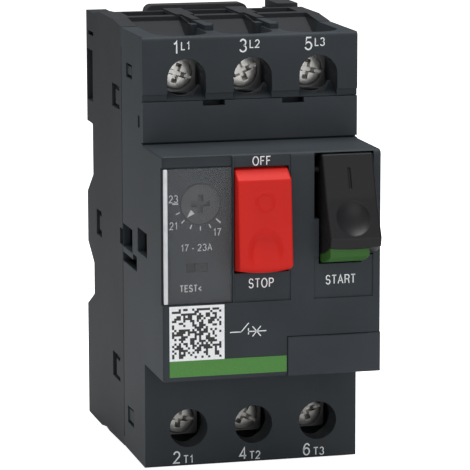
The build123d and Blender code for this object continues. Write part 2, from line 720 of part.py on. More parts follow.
def bimetal(x):
    """The blade stands on edge, so that it bends along X and pushes the trip bar."""
    half = bimetal_thick / 2
    root_z = lower_screw_z + clamp_half_height
    blade = block(x - half, x + half, bimetal_back - bimetal_width, bimetal_back, root_z, bimetal_top_z)
    heater_y0 = bimetal_back - bimetal_width - 0.7
    heater_y1 = bimetal_back + 0.7
    heater = block(x - 1.2, x + 1.2, heater_y0, heater_y1, heater_bottom_z, heater_bottom_z + heater_length)
    for turn in range(heater_turns):
        z = heater_bottom_z + (turn + 0.5) * heater_length / heater_turns
        ring = block(x - 2, x + 2, heater_y0 - 1, heater_y1 + 1, z - 0.2, z + 0.2)
        ring -= block(x - 0.85, x + 0.85, heater_y0 + 0.35, heater_y1 - 0.35, z - 1, z + 1)
        heater -= ring
    return blade + heater


def contact_bridge(x):
    half = bridge_width / 2
    reach = contact_z + contact_pad_r + 0.3
    bar = block(x - half, x + half, bridge_y, bridge_y + bridge_thick, -reach, reach)
    for z in (contact_z, -contact_z):
        bar += rod_y(x, bridge_y + bridge_thick, bridge_y + bridge_thick + contact_pad_thick, z,
                     contact_pad_r)
    return bar


def arc_chute(x):
    """Two stacks of V-notched steel plates, one beside each break."""
    plates = []
    for side in (1, -1):
        for index in range(deion_plates):
            y = deion_back_y + index * deion_pitch
            z0 = side * (contact_z + 3.8)
            notch_z = z0 + side * deion_notch_depth
            plate = block(x - deion_half_width, x + deion_half_width, y, y + deion_thick, z0,
                          side * deion_outer_z)
            plate -= block(x - deion_notch_half, x + deion_notch_half, y - 1, y + 2, z0, notch_z)
            plates.append(plate)
    return Compound(children=plates)


# ---- mechanism --------------------------------------------------------------------
def contact_carrier():
    front = carrier_y - carrier_thick
    x0 = pole_x[0] - carrier_half_width
    x1 = pole_x[-1] + carrier_half_width
    seat_y = bridge_y - 3.2
    bar = block(x0, x1, front, carrier_y, -carrier_half_height, carrier_half_height)
    for x in pole_x:
        post = carrier_post_half
        neck = carrier_neck_half
        bar += block(x - post, x + post, carrier_y, seat_y, -post, post)
        bar += block(x - post, x + post, seat_y - 1.2, seat_y, -post - 1, post + 1)
        bar += block(x - neck, x + neck, seat_y, bridge_y, -neck, neck)
    nose_half = carrier_nose_half
    bar += block(-nose_half - 0.3, nose_half + 0.3, carrier_nose_y, front, -nose_half, nose_half)
    return bar


def contact_springs():
    springs = []
    for x in pole_x:
        spring = coil_spring(carrier_neck_half + 0.85, spring_wire, 2.4, 3)
        springs.append(Pos(x, bridge_y - 0.35, 0) * Rot(90, 0, 0) * spring)
    return Compound(children=springs)


def mechanism_frame():
    sides = []
    for x in (frame_left, frame_right):
        plate = block(x, x + frame_plate, lever_front_y - 1.0, frame_back, frame_low_z, frame_high_z)
        plate -= rod_x(x - 1, x + 2, drive_y, drive_z, pin_r + 0.02)
        plate -= rod_x(x - 1, x + 2, latch_y, latch_z, pin_r + 0.02)
        sides.append(plate)
    web = block(frame_left, frame_right + frame_plate, frame_back, frame_back + frame_plate, 6.0,
                frame_high_z)
    return sides[0] + sides[1] + web


def lever_pins():
    places = ((drive_y, drive_z), (latch_y, latch_z))
    x0 = frame_left - 0.8
    x1 = frame_right + frame_plate + 0.8
    return Compound(children=[rod_x(x0, x1, y, z, pin_r) for y, z in places])


def drive_lever():
    """The front arm faces the START button and the rear arm faces the carrier's nose."""
    back_y = carrier_nose_y - 0.5
    outline = [(lever_front_y, 6.5), (-44.5, 7.5), (-38.5, -1.5), (back_y, -1.5), (back_y, 1.5),
               (-36.8, 1.8), (-39.5, 8.0), (-39.5, 13.5), (-44.5, 13.5), (lever_front_y, 9.5)]
    lever = side_profile(outline, frame_left + 3.0, frame_right - 2.0)
    return lever - rod_x(left, right, drive_y, drive_z, pin_r + running_clearance)


def latch_lever():
    outline = [(-44.0, -8.6), (-40.0, -8.6), (-38.6, -12.0), (-37.2, -12.0), (-38.4, -4.6), (-44.0, -4.6)]
    lever = side_profile(outline, frame_left + 2.0, frame_right - 1.2)
    return lever - rod_x(left, right, latch_y, latch_z, pin_r + running_clearance)


def trip_bar():
    x0 = pole_x[0] - conductor_half
    x1 = pole_x[-1] + conductor_half
    bar = block(x0, x1, trip_bar_y, trip_bar_y + trip_bar_thick, trip_bar_low_z, trip_bar_high_z)
    for x in pole_x:
        finger_x = x + bimetal_thick / 2 + 0.6
        bar += block(finger_x, finger_x + 1.0, bimetal_back - 2.4, trip_bar_y, trip_bar_low_z,
                     trip_bar_high_z - 0.6)
    return bar


def assembly_screws():
    screws = []
    neck_y = assembly_head_y - assembly_head_thick
    for x in between_x:
        for z in (pillar_z, -pillar_z):
            head = rod_y(x, neck_y, assembly_head_y, z, assembly_head_r)
            head -= block(x - 1.6, x + 1.6, assembly_head_y - 0.6, assembly_head_y + 1, z - 0.4, z + 0.4)
            screws.append(head + rod_y(x, assembly_tip_y, neck_y, z, assembly_screw_r))
    return Compound(children=screws)


# ---- write one file for each piece ---------------------------------------------------
start_cap, start_skirt = start_parts()
parts = {
    "rear_base": rear_base(),
    "front_housing": front_housing(),
    "accessory_cover": accessory_cover(),
    "corner_cover": corner_cover(),
    "front_label": front_label(),
    "dial_window": dial_window(),
    "setting_dial": setting_dial(),
    "test_slider": test_slider(),
    "start_button": start_cap,
    "start_flank": start_skirt,
    "stop_button": stop_button(),
    "button_shaft": button_shaft(),
    "button_spring": button_spring(),
    "din_clip": din_clip(),
    "din_clip_spring": din_clip_spring(),
    "contact_carrier": contact_carrier(),
    "contact_springs": contact_springs(),
    "mechanism_frame": mechanism_frame(),
    "lever_pins": lever_pins(),
    "drive_lever": drive_lever(),
    "latch_lever": latch_lever(),
    "trip_bar": trip_bar(),
    "assembly_screws": assembly_screws(),
}
for index, x in enumerate(pole_x):
    number = index + 1
    parts[f"terminal_screw_{2 * index + 1}"] = terminal_screw(x, upper_screw_z)
    parts[f"terminal_screw_{2 * index + 2}"] = terminal_screw(x, lower_screw_z)
    parts[f"clamp_plate_{2 * index + 1}"] = clamp_plate(x, upper_screw_z)
    parts[f"clamp_plate_{2 * index + 2}"] = clamp_plate(x, lower_screw_z)
    parts[f"line_terminal_{number}"] = line_terminal(x)
    parts[f"load_contact_{number}"] = load_contact(x)
    parts[f"load_terminal_{number}"] = load_terminal(x)
    parts[f"bimetal_{number}"] = bimetal(x)
    parts[f"trip_plunger_{number}"] = trip_plunger(x)
    parts[f"contact_bridge_{number}"] = contact_bridge(x)
    parts[f"arc_chute_{number}"] = arc_chute(x)

os.makedirs("parts", exist_ok=True)
for name, shape in parts.items():
    export_step(shape, f"parts/{name}.step")
print(len(parts), "pieces,", round(width, 2), "mm wide")
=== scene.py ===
import math

import bmesh
import bpy
from mathutils import Matrix, Vector


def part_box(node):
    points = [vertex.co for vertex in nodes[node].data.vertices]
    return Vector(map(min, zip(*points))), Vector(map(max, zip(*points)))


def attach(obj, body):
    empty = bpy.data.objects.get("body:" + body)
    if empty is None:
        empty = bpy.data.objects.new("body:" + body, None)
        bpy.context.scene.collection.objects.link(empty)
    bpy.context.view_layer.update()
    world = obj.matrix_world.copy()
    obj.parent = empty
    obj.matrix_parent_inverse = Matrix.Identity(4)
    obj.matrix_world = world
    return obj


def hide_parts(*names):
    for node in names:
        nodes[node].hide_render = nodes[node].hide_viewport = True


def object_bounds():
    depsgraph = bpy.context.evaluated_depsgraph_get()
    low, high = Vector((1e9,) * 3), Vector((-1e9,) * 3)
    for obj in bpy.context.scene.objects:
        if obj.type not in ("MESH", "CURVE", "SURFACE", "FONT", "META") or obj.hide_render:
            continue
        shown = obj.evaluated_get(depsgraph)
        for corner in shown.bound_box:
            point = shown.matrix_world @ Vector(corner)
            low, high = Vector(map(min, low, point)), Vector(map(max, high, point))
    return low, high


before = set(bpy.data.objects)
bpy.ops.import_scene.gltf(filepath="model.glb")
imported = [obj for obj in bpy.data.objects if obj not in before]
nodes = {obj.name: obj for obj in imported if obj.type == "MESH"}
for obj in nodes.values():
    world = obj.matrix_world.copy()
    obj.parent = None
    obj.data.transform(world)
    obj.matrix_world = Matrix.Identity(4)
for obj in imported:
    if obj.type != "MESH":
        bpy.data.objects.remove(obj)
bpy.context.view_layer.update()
MM = 0.001

# ---- Base ------------------------------------------------------------------------------
# The rear half of the case: glass-filled polyamide, moulded almost black, with a fine eroded
# texture. It holds the poles and the rail seat and is screwed to the front housing.


def new_material(name):
    """A node material, its tree and its shader."""
    material = bpy.data.materials.new(name)
    material.use_nodes = True
    tree = material.node_tree
    shader = tree.nodes["Principled BSDF"]
    return material, tree, shader


def noise(tree, scale, detail=2.0, rough=0.5):
    """Noise in the part's own space, in cells for each metre."""
    coordinates = tree.nodes.new("ShaderNodeTexCoord")
    texture = tree.nodes.new("ShaderNodeTexNoise")
    texture.inputs["Scale"].default_value = scale
    texture.inputs["Detail"].default_value = detail
    texture.inputs["Roughness"].default_value = rough
    tree.links.new(coordinates.outputs["Object"], texture.inputs["Vector"])
    return texture.outputs["Fac"]


def ramp(tree, value, low, high, colour_low, colour_high):
    """Blends two colours as a value goes from low to high."""
    mix = tree.nodes.new("ShaderNodeValToRGB")
    mix.color_ramp.elements[0].position = low
    mix.color_ramp.elements[0].color = (*colour_low, 1)
    mix.color_ramp.elements[1].position = high
    mix.color_ramp.elements[1].color = (*colour_high, 1)
    tree.links.new(value, mix.inputs["Fac"])
    return mix.outputs["Color"]


def span(tree, value, low, high):
    """Stretches a 0 to 1 value to run from low to high."""
    mapping = tree.nodes.new("ShaderNodeMapRange")
    mapping.inputs["To Min"].default_value = low
    mapping.inputs["To Max"].default_value = high
    tree.links.new(value, mapping.inputs["Value"])
    return mapping.outputs["Result"]


def soften(tree, shader, height, strength, distance, edge):
    """Bump from a height, over edges that are rounded by a small radius."""
    corner = tree.nodes.new("ShaderNodeBevel")
    corner.samples = 4
    corner.inputs["Radius"].default_value = edge
    bump = tree.nodes.new("ShaderNodeBump")
    bump.inputs["Strength"].default_value = strength
    bump.inputs["Distance"].default_value = distance
    tree.links.new(height, bump.inputs["Height"])
    tree.links.new(corner.outputs["Normal"], bump.inputs["Normal"])
    tree.links.new(bump.outputs["Normal"], shader.inputs["Normal"])


def moulded_plastic(name, colour, roughness, grain=9000, depth=0.00003, edge=0.00012,
                    mottling=0.12, gloss=0.35):
    """Moulded plastic: an eroded grain, faint flow marks and slightly rounded edges."""
    material, tree, shader = new_material(name)
    flow = noise(tree, 60, 3)
    light = tuple(channel * (1 + mottling) for channel in colour)
    dark = tuple(channel * (1 - mottling) for channel in colour)
    tree.links.new(ramp(tree, flow, 0.3, 0.7, dark, light), shader.inputs["Base Color"])
    fine = noise(tree, grain, 1)
    tree.links.new(span(tree, fine, roughness - 0.06, roughness + 0.06), shader.inputs["Roughness"])
    shader.inputs["Specular IOR Level"].default_value = gloss
    soften(tree, shader, fine, 0.35, depth, edge)
    return material


def paint(names, material):
    """Gives CAD pieces their finish."""
    for name in names:
        nodes[name].data.materials.clear()
        nodes[name].data.materials.append(material)


base_plastic = moulded_plastic("base_polyamide", (0.034, 0.036, 0.039), 0.55, gloss=0.1)
paint(["rear_base"], base_plastic)

# ---- Current path inside ------------------------------------------------------------------
# Copper-alloy conductors with silver contact pads, bimetal blades with their heaters, and the
# steel arc chutes. They are dropped into the base before the housing closes it.


def metal(name, colour, roughness, spread, scale, edge=0.00008):
    """Stamped or turned metal with a drawn surface that varies a little in polish."""
    material, tree, shader = new_material(name)
    shader.inputs["Metallic"].default_value = 1.0
    patches = noise(tree, scale, 4)
    dark = tuple(channel * 0.8 for channel in colour)
    tree.links.new(ramp(tree, patches, 0.3, 0.75, dark, colour), shader.inputs["Base Color"])
    tree.links.new(span(tree, patches, roughness - spread, roughness + spread), shader.inputs["Roughness"])
    soften(tree, shader, noise(tree, scale * 12, 2), 0.15, 0.00002, edge)
    return material


copper = metal("copper_alloy", (0.78, 0.46, 0.28), 0.32, 0.08, 300)
zinc_steel = metal("zinc_plated_steel", (0.30, 0.30, 0.295), 0.42, 0.08, 260)
rolled_steel = metal("rolled_steel", (0.45, 0.45, 0.46), 0.42, 0.1, 350)
bimetal_steel = metal("bimetal", (0.55, 0.5, 0.43), 0.38, 0.08, 400)
paint([f"{piece}_{pole}" for piece in ("line_terminal", "load_terminal", "load_contact", "contact_bridge")
       for pole in (1, 2, 3)], copper)
paint([f"bimetal_{pole}" for pole in (1, 2, 3)], bimetal_steel)
paint([f"arc_chute_{pole}" for pole in (1, 2, 3)], rolled_steel)
paint([f"trip_plunger_{pole}" for pole in (1, 2, 3)], rolled_steel)
paint([f"clamp_plate_{number}" for number in range(1, 7)], zinc_steel)

# ---- Switching mechanism ------------------------------------------------------------------
# The moulded contact carrier and trip bar, and a folded steel frame with its levers and pins,
# closed in by the housing. The springs, shaft and assembly screws are steel as well.

carrier_plastic = moulded_plastic("carrier_melamine", (0.36, 0.30, 0.22), 0.6, 7000)
paint(["contact_carrier", "trip_bar"], carrier_plastic)
paint(["mechanism_frame", "lever_pins", "drive_lever", "latch_lever"], zinc_steel)
paint(["contact_springs", "din_clip_spring", "button_spring", "assembly_screws"], zinc_steel)
# The shaft is made near black: painted shade for the gap beside the START button, where it shows.
shaft_shade_steel = metal("shaft_steel_painted_shade", (0.035, 0.035, 0.036), 0.6, 0.08, 500)
paint(["button_shaft"], shaft_shade_steel)

# ---- Terminal screws -----------------------------------------------------------------------
# M4 combination screws in nickel-plated steel, with a cheese head, a cross recess and a slot.
# They are captive in their clamp plates and stand fully out, ready to take a wire.


def finish_mesh(name, mesh, material, body, replaced=(), smooth_angle=math.radians(35)):
    """Puts a finished mesh in the scene with its material, ties it to its body and hides the CAD pieces it
    stands in for.
    """
    data = bpy.data.meshes.new(name)
    mesh.to_mesh(data)
    mesh.free()
    piece = bpy.data.objects.new(name, data)
    bpy.context.scene.collection.objects.link(piece)
    data.materials.append(material)
    data.shade_smooth()
    data.set_sharp_from_angle(angle=smooth_angle)
    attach(piece, body)
    if replaced:
        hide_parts(*replaced)
    return piece


def turned(profile, steps):
    """A closed mesh turned about Y from (radius, y) points that start and end on the axis."""
    mesh = bmesh.new()
    rings = []
    for radius, y in profile:
        if radius == 0:
            rings.append([mesh.verts.new((0, y, 0))])
            continue
        angles = [2 * math.pi * step / steps for step in range(steps)]
        rings.append([mesh.verts.new((radius * math.cos(a), y, radius * math.sin(a))) for a in angles])
    for first, second in zip(rings, rings[1:]):
        for step in range(steps):
            after = (step + 1) % steps
            if len(first) == 1:
                mesh.faces.new((first[0], second[after], second[step]))
            elif len(second) == 1:
                mesh.faces.new((first[step], first[after], second[0]))
            else:
                mesh.faces.new((first[step], first[after], second[after], second[step]))
    bmesh.ops.recalc_face_normals(mesh, faces=mesh.faces)
    return mesh


def wedge_block(mesh, near, far, y_near, y_far):
    """Adds a tapering block between two rectangles, given as half sizes in X and Z."""
    corners = []
    for half_x, half_z, y in ((*near, y_near), (*far, y_far)):
        corners.append([mesh.verts.new((sx * half_x, y, sz * half_z))
                        for sx, sz in ((-1, -1), (1, -1), (1, 1), (-1, 1))])
    front, back = corners
    faces = [front, back[::-1]]
    faces += [[front[i], back[i], back[(i + 1) % 4], front[(i + 1) % 4]] for i in range(4)]
    for face in faces:
        mesh.faces.new(face)
    bmesh.ops.recalc_face_normals(mesh, faces=mesh.faces)


def object_from(name, mesh):
    """A plain scene object from a mesh, for use as a cutter or a blank."""
    data = bpy.data.meshes.new(name)
    mesh.to_mesh(data)
    mesh.free()
    piece = bpy.data.objects.new(name, data)
    bpy.context.scene.collection.objects.link(piece)
    return piece


def cut(blank, cutters):
    """Takes cutters out of a blank and returns the result as a mesh; all the objects go."""
    for cutter in cutters:
        step = blank.modifiers.new("cut", "BOOLEAN")
        step.operation = "DIFFERENCE"
        step.solver = "EXACT"
        step.object = cutter
    bpy.context.view_layer.update()
    seen = blank.evaluated_get(bpy.context.evaluated_depsgraph_get())
    mesh = bmesh.new()
    mesh.from_mesh(seen.to_mesh())
    for piece in [blank, *cutters]:
        bpy.data.objects.remove(piece)
    return mesh


screw_nickel = metal("screw_nickel", (0.66, 0.65, 0.62), 0.36, 0.06, 1400, 0.00008)


def screw_head(radius, thick):
    """The head from its rim to its recess, with its face at y = 0."""
    profile = [(0, 0.02), (radius * 0.5, 0.02), (radius * 0.88, 0.06),
               (radius * 0.955, 0.14), (radius * 0.985, 0.26),
               (radius, 0.5), (radius, thick), (0, thick)]
    blank = object_from("screw_blank", turned([(r * MM, y * MM) for r, y in profile], 48))
    cutters = []
    for near, far, depth in (((0.6, 2.3), (0.42, 1.3), 1.5), ((2.3, 0.6), (1.3, 0.42), 1.5),
                             ((radius + 0.3, 0.36), (radius + 0.3, 0.3), 0.5)):
        mesh = bmesh.new()
        wedge_block(mesh, [v * MM for v in near], [v * MM for v in far], -0.3 * MM, depth * MM)
        cutters.append(object_from("screw_cutter", mesh))
    return cut(blank, cutters)


def screw_shank(mesh, radius, y_from, y_to, pitch):
    """Adds a threaded shank: rings that rise and fall with the thread."""
    profile = [(0, y_from)]
    turns = int((y_to - y_from - 0.6) / pitch)
    for turn in range(turns):
        y = y_from + turn * pitch
        profile += [(radius - 0.28, y), (radius, y + pitch * 0.42), (radius, y + pitch * 0.58)]
    profile += [(radius - 0.28, y_from + turns * pitch), (radius - 0.7, y_to), (0, y_to)]
    shank = turned([(r * MM, y * MM) for r, y in profile], 32)
    joined = bpy.data.meshes.new("shank")
    shank.to_mesh(joined)
    shank.free()
    mesh.from_mesh(joined)


head_thick = 2.4
shank_radius = 1.93
thread_pitch = 0.7
for number in range(1, 7):
    low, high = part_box(f"terminal_screw_{number}")
    centre = (low + high) / 2
    head_radius = (high.x - low.x) / 2 / MM
    mesh = screw_head(head_radius, head_thick)
    screw_shank(mesh, shank_radius, head_thick, (high.y - low.y) / MM, thread_pitch)
    turn_angle = math.radians((18, 8, -24, 30, 12, -15)[number - 1])
    bmesh.ops.rotate(mesh, verts=mesh.verts, cent=(0, 0, 0), matrix=Matrix.Rotation(turn_angle, 3, "Y"))
    bmesh.ops.translate(mesh, verts=mesh.verts, vec=(centre.x, low.y, centre.z))
    name = f"combination_screw_{number}"
    screw_node = f"terminal_screw_{number}"
    finish_mesh(name, mesh, screw_nickel, screw_node, [screw_node])

# ---- Front housing ---------------------------------------------------------------------------
# The front half of the case with its stepped nose, moulded in the same polyamide as the base.
# Its terminal numbers are pad-printed in white.

housing_plastic = moulded_plastic("housing_polyamide", (0.036, 0.043, 0.049), 0.55, gloss=0.14)
paint(["front_housing"], housing_plastic)


def printing_ink(name, colour):
    """Pad-printing ink: matt, slightly uneven in cover."""
    material, tree, shader = new_material(name)
    cover = noise(tree, 2500, 2)
    thin = tuple(channel * 0.86 for channel in colour)
    tree.links.new(ramp(tree, cover, 0.25, 0.6, thin, colour), shader.inputs["Base Color"])
    shader.inputs["Roughness"].default_value = 0.55
    return material


white_ink = printing_ink("white_ink", (0.9, 0.91, 0.92))


def bow(x, z, radius_x, radius_z, start, end):
    """Points along a part of an oval; angles in degrees anticlockwise from the right."""
    steps = max(4, round(abs(end - start) / 12))
    points = []
    for step in range(steps + 1):
        angle = math.radians(start + (end - start) * step / steps)
        points.append((x + radius_x * math.cos(angle), z + radius_z * math.sin(angle)))
    return points


# each letter: its width, then its strokes in units of the letter height
letters = {
    "1": (0.40, [(0.07, 0.78), (0.20, 0.84), (0.30, 1.0), (0.30, 0)]),
    "2": (0.60, bow(0.30, 0.71, 0.25, 0.29, 170, -32) + [(0.03, 0.0), (0.57, 0.0)]),
    "3": (0.60, bow(0.29, 0.745, 0.23, 0.255, 160, -80), bow(0.29, 0.25, 0.27, 0.26, 80, -165)),
    "4": (0.64, [(0.45, 0), (0.45, 1.0), (0.03, 0.28), (0.62, 0.28)]),
    "5": (0.60, [(0.54, 1.0), (0.15, 1.0), (0.07, 0.48)] + bow(0.29, 0.31, 0.28, 0.31, 140, -160)),
    "6": (0.60, bow(0.30, 0.31, 0.26, 0.31, 180, -180), bow(0.34, 0.42, 0.30, 0.58, 186, 42)),
    "7": (0.58, [(0.03, 1.0), (0.56, 1.0), (0.32, 0.5), (0.20, 0)]),
    "A": (0.68, [(0.0, 0), (0.34, 1.0), (0.68, 0)], [(0.12, 0.34), (0.56, 0.34)]),
    "E": (0.58, [(0.56, 1.0), (0.05, 1.0), (0.05, 0), (0.58, 0)], [(0.05, 0.53), (0.52, 0.53)]),
    "F": (0.54, [(0.54, 1.0), (0.05, 1.0), (0.05, 0)], [(0.05, 0.52), (0.47, 0.52)]),
    "L": (0.50, [(0.05, 1.0), (0.05, 0), (0.50, 0)]),
    "O": (0.76, bow(0.38, 0.5, 0.36, 0.52, 180, -180)),
    "P": (0.60, [(0.05, 0), (0.05, 1.0), (0.34, 1.0)]
          + bow(0.34, 0.74, 0.25, 0.26, 80, -80) + [(0.05, 0.48)]),
    "R": (0.64, [(0.05, 0), (0.05, 1.0), (0.38, 1.0)] + bow(0.38, 0.75, 0.25, 0.25, 80, -80) + [(0.05, 0.5)],
          [(0.36, 0.5), (0.55, 0.42), (0.62, 0)]),
    "S": (0.62, bow(0.31, 0.75, 0.25, 0.27, 15, 255) + bow(0.31, 0.25, 0.27, 0.27, 75, -165)),
    "T": (0.60, [(0.0, 1.0), (0.60, 1.0)], [(0.30, 1.0), (0.30, 0)]),
    "-": (0.30, [(0.0, 0.36), (0.30, 0.36)]),
    "<": (0.48, [(0.48, 0.72), (0.04, 0.4), (0.48, 0.08)]),
    " ": (0.16,),
}
stroke_width = 0.112


def ribbon(mesh, points, half, y, thickness):
    """Adds a flat stroke of even width along (x, z) points, in metres."""
    points = [Vector(point) for point in points]
    rings = []
    for index, point in enumerate(points):
        before = (point - points[index - 1]).normalized() if index else None
        after = (points[index + 1] - point).normalized() if index + 1 < len(points) else None
        run = ((before or after) + (after or before)).normalized()
        side = Vector((-run.y, run.x))
        along = after or before
        spread = half / max(side.dot(Vector((-along.y, along.x))), 0.45)
        ring = []
        for offset, depth in ((spread, y - thickness), (-spread, y - thickness), (-spread, y), (spread, y)):
            corner = point + side * offset
            ring.append(mesh.verts.new((corner.x, depth, corner.y)))
        rings.append(ring)
    mesh.faces.new(rings[0])
    mesh.faces.new(rings[-1][::-1])
    for first, second in zip(rings, rings[1:]):
        for step in range(4):
            after = (step + 1) % 4
            mesh.faces.new((first[step], second[step], second[after], first[after]))


def print_text(name, words, x, z, height, y, squeeze=1.0, weight=1.0):
    """Prints words on a face that looks to the front, with their lower left corner at x, z."""
    mesh = bmesh.new()
    tall = height * (1 - stroke_width * weight)
    half = height * stroke_width * weight / 2
    for letter in words:
        wide, *strokes = letters[letter]
        for stroke in strokes:
            points = [((x + half + u * tall * squeeze) * MM, (z + half + v * tall) * MM) for u, v in stroke]
            ribbon(mesh, points, half * MM, y * MM, 0.02 * MM)
        x += (wide * squeeze + 0.15) * tall + 2 * half * 0.6
    bmesh.ops.recalc_face_normals(mesh, faces=mesh.faces)
    return finish_mesh(name, mesh, white_ink, "housing")


tier_front = -51.4
nose_front = -68.7
ink_gap = 0.015
# for each pole: its number, where and how tall, then its letters, where and how tall
pole_marks = (
    ("1", -16.3, 40.95, 2.75, "L1", -14.6, 41.75, 1.75),
    ("3", -2.5, 40.95, 2.75, "L2", -0.35, 41.75, 1.75),
    ("5", 11.2, 40.95, 2.75, "L3", 13.35, 41.75, 1.75),
    ("2", -16.75, -43.9, 2.65, "T1", -14.5, -43.95, 1.75),
    ("4", -2.7, -43.9, 2.65, "T2", -0.45, -43.95, 1.75),
    ("6", 11.0, -43.9, 2.65, "T3", 13.3, -43.95, 1.75),
)
for digit, x, z, height, marks, marks_x, marks_z, marks_height in pole_marks:
    print_text(f"terminal_number_{digit}", digit, x, z, height, tier_front - ink_gap)
    print_text(f"terminal_letters_{marks}", marks, marks_x, marks_z, marks_height,
               tier_front - ink_gap, weight=1.1)
plate_front = nose_front + 0.25
print_text("word_off", "OFF", -4.1, 20.35, 1.85, plate_front - ink_gap, 0.95)
print_text("word_stop", "STOP", -4.95, -4.35, 1.95, plate_front - ink_gap, 0.87)
print_text("word_start", "START", 11.0, -4.35, 1.9, plate_front - ink_gap, 0.87)

# ---- Snap-in covers ---------------------------------------------------------------------------
# Two small plates in the housing's colour: one closes the bay for an add-on contact block, the
# other closes the lower right corner of the nose.

cover_plastic = moulded_plastic("cover_polyamide", (0.037, 0.044, 0.051), 0.52, gloss=0.2)
paint(["accessory_cover", "corner_cover"], cover_plastic)

# ---- Rail clip ----------------------------------------------------------------------------------
# The sliding clip that holds the breaker on its rail, in black polyamide, pulled up with a
# screwdriver against its coil spring.

clip_plastic = moulded_plastic("clip_polyamide", (0.028, 0.028, 0.031), 0.42)
paint(["din_clip"], clip_plastic)

# ---- STOP button ----------------------------------------------------------------------------------
# A red rocker, moulded in satin polycarbonate with a bevelled top, a raised ring for OFF and a
# shallow scoop for the thumb. It turns on the steel shaft.


def rounded(points, radii, steps=6):
    """A (y, z) outline whose inner corners are rounded; radii has one value for each point."""
    outline = []
    for index, (point, radius) in enumerate(zip(points, radii)):
        corner = Vector(point)
        if radius == 0:
            outline.append(corner)
            continue
        back = (Vector(points[index - 1]) - corner).normalized()
        on = (Vector(points[index + 1]) - corner).normalized()
        half = back.angle(on) / 2
        reach = radius / math.tan(half)
        middle = corner + (back + on).normalized() * (radius / math.sin(half))
        first = corner + back * reach - middle
        last = corner + on * reach - middle
        for step in range(steps + 1):
            share = step / steps
            outline.append(middle + (first * (1 - share) + last * share).normalized() * radius)
    return outline


def evenly(outline, gap):
    """The same outline with points at most gap apart, and how far along it each one is."""
    dense = [outline[0]]
    for start, end in zip(outline, outline[1:]):
        parts = max(1, math.ceil((end - start).length / gap))
        dense += [start.lerp(end, part / parts) for part in range(1, parts + 1)]
    along = [0.0]
    for start, end in zip(dense, dense[1:]):
        along.append(along[-1] + (end - start).length)
    return dense, along


def ease(value, low, high):
    """0 below low, 1 above high and smooth between."""
    share = min(max((value - low) / (high - low), 0), 1)
    return share * share * (3 - 2 * share)


def rocker(outline, back, x0, x1, edge, relief, bow_to=0.0, sag=0.0, gap=0.16):
    """A rocker button: its outline drawn across X with rounded sides, and a back plane behind it.
    relief(x, z, along) says how far the surface lies under the outline. Below bow_to the middle
    hangs by sag. All in millimetres."""
    points, along = evenly(outline, gap)
    columns = max(2, round((x1 - x0) / gap))
    xs = [x0 + edge * (1 - math.cos(math.pi / 2 * i / 5)) for i in range(5)]
    xs += [x0 + edge + (x1 - x0 - 2 * edge) * i / columns for i in range(columns + 1)]
    xs += [x1 - edge * (1 - math.cos(math.pi / 2 * i / 5)) for i in range(4, -1, -1)]
    mesh = bmesh.new()
    rings = []
    for index, point in enumerate(points):
        before = points[max(index - 1, 0)]
        after = points[min(index + 1, len(points) - 1)]
        run = (after - before).normalized()
        normal = Vector((run.y, -run.x))
        share = index / (len(points) - 1)
        back_point = back[0].lerp(back[1], share)
        ring = [mesh.verts.new((x0 * MM, back_point.x * MM, back_point.y * MM))]
        for x in xs:
            inset = min(x - x0, x1 - x, edge)
            drop = edge - math.sqrt(max(edge ** 2 - (edge - inset) ** 2, 0))
            place = point - normal * (drop + relief(x, point.y, along[index]))
            ring.append(mesh.verts.new((x * MM, place.x * MM, place.y * MM)))
        ring.append(mesh.verts.new((x1 * MM, back_point.x * MM, back_point.y * MM)))
        rings.append(ring)
    lowest = min(point.y for point in points)
    for corner in mesh.verts:
        share = ease(bow_to - corner.co.z / MM, 0, bow_to - lowest)
        across = (2 * corner.co.x / MM - x0 - x1) / (x1 - x0)
        corner.co.z -= sag * MM * share * (1 - across ** 2)
    for first, second in zip(rings, rings[1:]):
        for step in range(len(first)):
            after = (step + 1) % len(first)
            mesh.faces.new((first[step], first[after], second[after], second[step]))
    mesh.faces.new(rings[0][::-1])
    mesh.faces.new(rings[-1])
    bmesh.ops.recalc_face_normals(mesh, faces=mesh.faces)
    return mesh


def shaft_arc(radius, angle_from, angle_to, steps=14):
    """Points on a circle round the button shaft; angles in degrees from straight down, to the front."""
    points = []
    for step in range(steps + 1):
        angle = math.radians(angle_from + (angle_to - angle_from) * step / steps)
        points.append(Vector((shaft_y - radius * math.sin(angle), shaft_z - radius * math.cos(angle))))
    return points


shaft_y = -66.4
shaft_z = 18.9
button_smooth_angle = math.radians(28)
stop_left = -7.7
stop_right = 3.3
stop_skirt = 19.7
ring_centre = (-2.25, 13.5)
ring_radius = 1.75
scoop_centre = (-2.25, 3.2)


def stop_relief(x, z, along):
    """The raised ring, the thumb scoop and the curved lower edge of the STOP button."""
    from_ring = abs(math.hypot(x - ring_centre[0], z - ring_centre[1]) - ring_radius)
    depth = -0.16 * (1 - ease(from_ring, 0.1, 0.3))
    if z < 17:
        reach = math.hypot((x - scoop_centre[0]) / 3.9, (z - scoop_centre[1]) / 5.2)
        depth += 1.0 * (1 - ease(reach, 0.6, 1.0)) * ease(z, -0.5, 8.0)
    return depth


stop_outline = rounded([(-67.2, 20.0), (-68.2, 19.65), (-71.1, 17.75), (-72.6, 0.55), (-71.4, -0.15)],
                       [0, 0.25, 0.5, 0.7, 0])
stop_outline += shaft_arc(stop_skirt, 14.2, -11)
red_plastic = moulded_plastic("button_red", (0.62, 0.017, 0.011), 0.45, 7000, 0.00002, 0.0002, 0.04, 0.15)
stop_back = (Vector((-65.3, 20.0)), Vector((-62.7, 1.6)))
mesh = rocker(stop_outline, stop_back, stop_left, stop_right, 0.35, stop_relief, bow_to=6.0, sag=0.6)
finish_mesh("stop_rocker", mesh, red_plastic, "stop_button", ["stop_button"],
            button_smooth_angle)

# ---- START button -----------------------------------------------------------------------------------
# A black rocker with a round thumb dish, a sunk line for ON and a green skirt moulded under it
# that shows while the button stands out. It turns on the same shaft.

start_left = 10.0
start_right = 20.6
dish_centre = (15.2, 9.9)
dish_radius = 3.45


